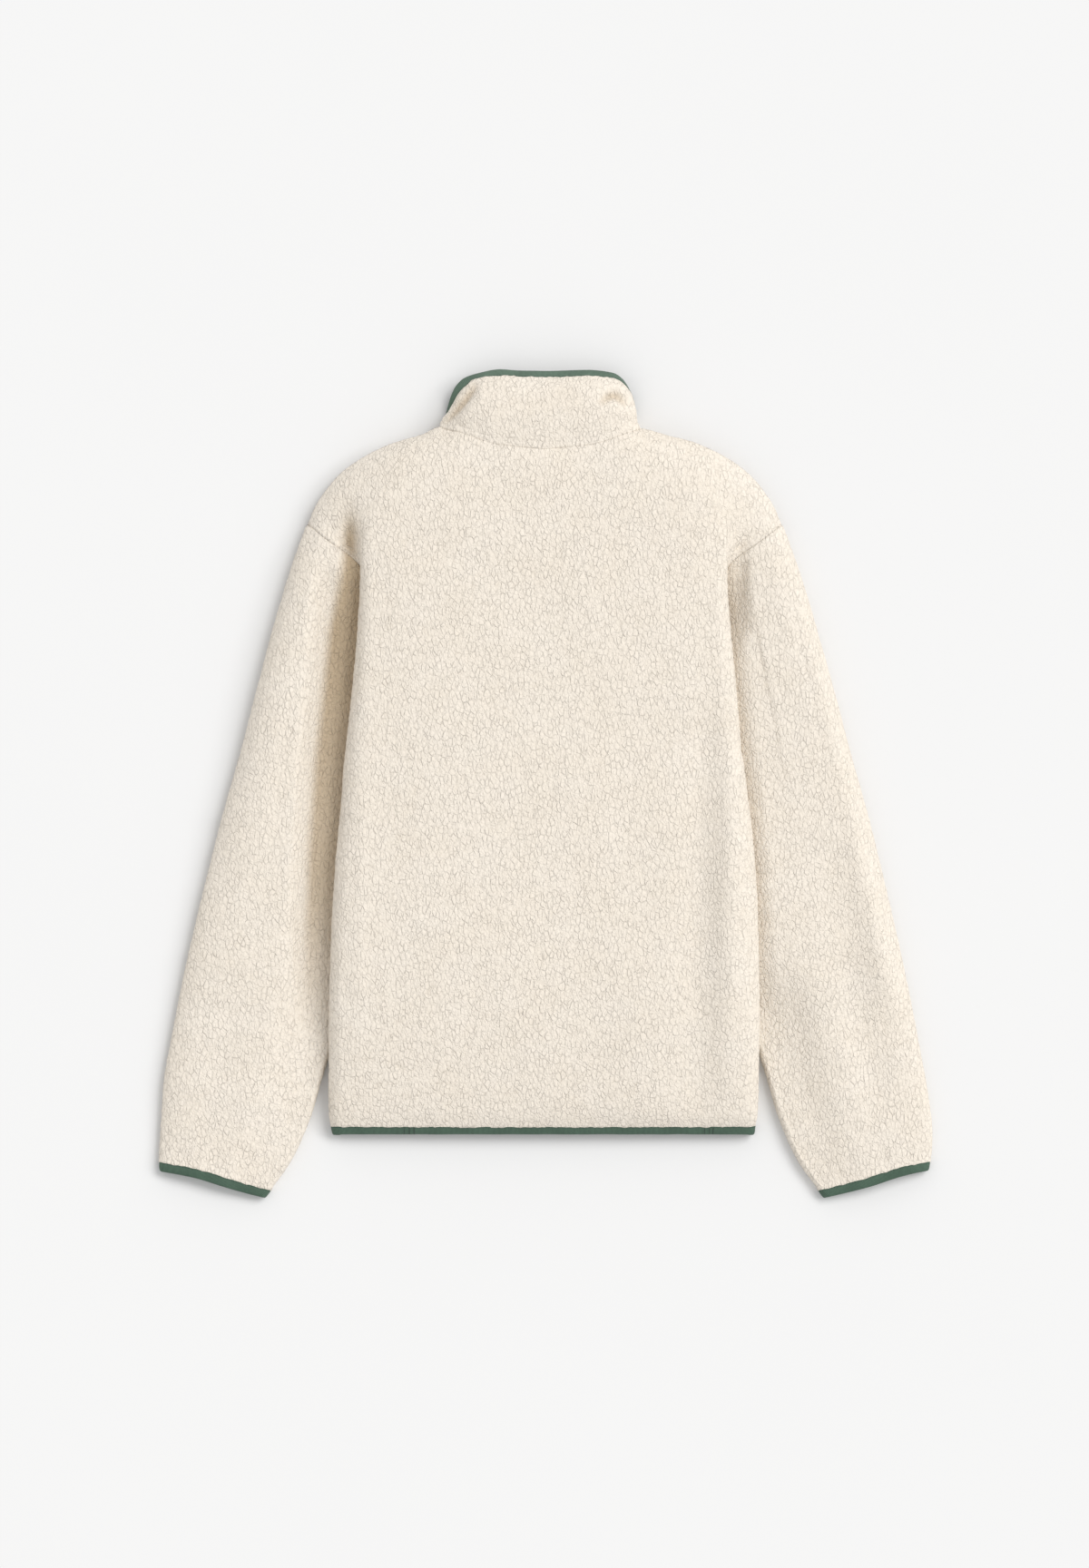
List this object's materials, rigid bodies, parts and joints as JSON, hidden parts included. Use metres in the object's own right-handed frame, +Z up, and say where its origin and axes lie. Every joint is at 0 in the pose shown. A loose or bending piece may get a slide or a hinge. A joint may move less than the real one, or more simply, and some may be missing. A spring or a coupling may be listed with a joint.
{
  "type": "fleece jacket",
  "caption": "Pile fleece jacket with a stand collar, bound edges and a front zip, lying flat on its front with the sleeves beside the body.",
  "frame": {"origin": "centre of the bounding box, on the surface the jacket lies on", "axes": "+Z up, away from the surface, out of the back panel; +Y towards the collar; +X towards the wearer's right sleeve"},
  "size_m": [0.7456, 0.7979, 0.048],
  "materials": {
    "pile": "deep cream pile",
    "binding": "dark green knitted stretch tape",
    "zip_tape": "dark green woven tape",
    "zip_teeth": "satin",
    "zip_metal": "dark satin"
  },
  "bodies": {
    "jacket": {"back": "pile", "front_left": "pile", "front_right": "pile", "sleeve_left": "pile", "sleeve_right": "pile", "collar": "pile", "hem_binding": "binding", "cuff_binding_left": "binding", "cuff_binding_right": "binding", "collar_binding": "binding", "zip_tape_left": "zip_tape", "zip_tape_right": "zip_tape", "zip_chain": "zip_teeth", "zip_slider": "zip_metal"},
    "pull": {"zip_pull": "zip_metal"}
  },
  "joints": [
    {"name": "pull_hinge", "type": "hinge", "parent": "jacket", "child": "pull", "pos_m": [0, 0.31825, 0.00085], "axis": [1, 0, 0], "range_deg": [0, 150]}
  ]
}
